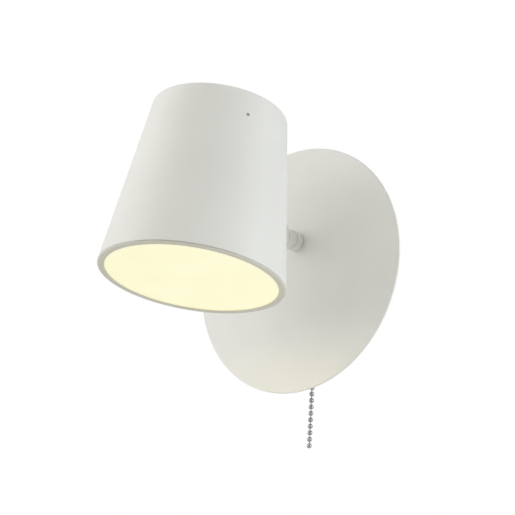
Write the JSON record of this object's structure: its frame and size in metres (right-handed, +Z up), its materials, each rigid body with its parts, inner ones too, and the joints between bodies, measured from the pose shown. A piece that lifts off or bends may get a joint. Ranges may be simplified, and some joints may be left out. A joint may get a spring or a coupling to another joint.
{
  "type": "wall light with pull chain switch",
  "caption": "White wall reading light: a conical swivelling head on a short arm, a flat round plate, and a bead chain that works the switch in the housing behind it.",
  "frame": {"origin": "middle of the wall bracket's back face, on the wall, at the centre line of the round plate", "axes": "+Z up, +X to the right along the wall as seen from the room, -Y out of the wall into the room"},
  "size_m": [0.1598, 0.1866, 0.1956],
  "materials": {
    "white_paint": "satin powder coat",
    "bezel_paint": "satin powder coat",
    "opal_diffuser": "satin opal acrylic, lit warm",
    "reflector_white": "matt white",
    "nickel": "bright nickel plate",
    "zinc": "zinc plated steel",
    "aluminium": "die cast",
    "brass": "plain",
    "copper": "spring copper alloy",
    "led_board": "white solder mask",
    "driver_board": "green solder mask",
    "driver_plastic": "fine texture",
    "switch_plastic": "fine texture",
    "natural_plastic": "smooth nylon",
    "wire_brown": "insulated wire",
    "wire_blue": "insulated wire",
    "wire_green": "insulated wire, green and yellow",
    "wire_grey": "insulated two core wire"
  },
  "bodies": {
    "base": {"wall_bracket": "zinc", "earth_screw": "brass", "side_screw_right": "nickel", "side_screw_left": "nickel", "base_housing": "white_paint", "front_disc": "white_paint", "stud_nut_1": "zinc", "stud_nut_2": "zinc", "stud_nut_3": "zinc", "arm_collar": "white_paint", "switch_case": "switch_plastic", "switch_lid": "switch_plastic", "switch_rivet_1": "brass", "switch_rivet_2": "brass", "switch_nozzle": "nickel", "nozzle_nut": "nickel", "return_spring": "zinc", "rotor_axle": "zinc", "contact_blade_live": "copper", "contact_blade_load": "copper", "driver_case": "driver_plastic", "driver_cover": "driver_plastic", "driver_board": "driver_board", "terminal_block": "natural_plastic", "terminal_screw_1": "zinc", "terminal_screw_2": "zinc", "terminal_screw_3": "zinc", "wire_live": "wire_brown", "wire_neutral": "wire_blue", "wire_earth": "wire_green", "wire_switched": "wire_brown", "wire_lamp": "wire_grey"},
    "pull": {"pull_plunger": "natural_plastic", "pull_chain": "nickel"},
    "rotor": {"ratchet_rotor": "natural_plastic", "rotor_contact": "brass"},
    "arm": {"swivel_spindle": "zinc", "stop_washer": "zinc", "friction_washer": "nickel", "spindle_nut": "zinc", "arm_knuckle": "white_paint", "pivot_nut": "zinc", "wire_arm": "wire_grey"},
    "head": {"head_knuckle": "white_paint", "pivot_screw": "nickel", "pivot_washer": "nickel", "stem_washer": "zinc", "stem_nut": "zinc", "shade_shell": "white_paint", "heat_sink": "aluminium", "set_screw_1": "zinc", "set_screw_2": "zinc", "set_screw_3": "zinc", "led_board": "led_board", "board_screw_1": "zinc", "board_screw_2": "zinc", "reflector": "reflector_white", "diffuser": "opal_diffuser", "bezel_ring": "bezel_paint", "wire_head": "wire_grey"}
  },
  "joints": [
    {"name": "arm_swivel", "type": "hinge", "parent": "base", "child": "arm", "pos_m": [0, -0.035, 0.0177], "axis": [0, -1, 0], "range_deg": [-163, 163]},
    {"name": "head_tilt", "type": "hinge", "parent": "arm", "child": "head", "pos_m": [0, -0.0575, 0.0177], "axis": [1, 0, 0], "range_deg": [-35, 35]},
    {"name": "chain_pull", "type": "slide", "parent": "base", "child": "pull", "axis": [0, 0, -1], "range_m": [0, 0.006], "stiffness_N_per_m": 900, "springref_m": -0.003, "deforming": ["return_spring"]},
    {"name": "rotor_turn", "type": "hinge", "parent": "base", "child": "rotor", "pos_m": [0.0042, -0.012, -0.024], "axis": [0, 1, 0], "range_deg": [0, 90]}
  ],
  "couplings": [
    {"joint": "rotor_turn", "follows": "chain_pull", "rad_per_m": 260}
  ]
}
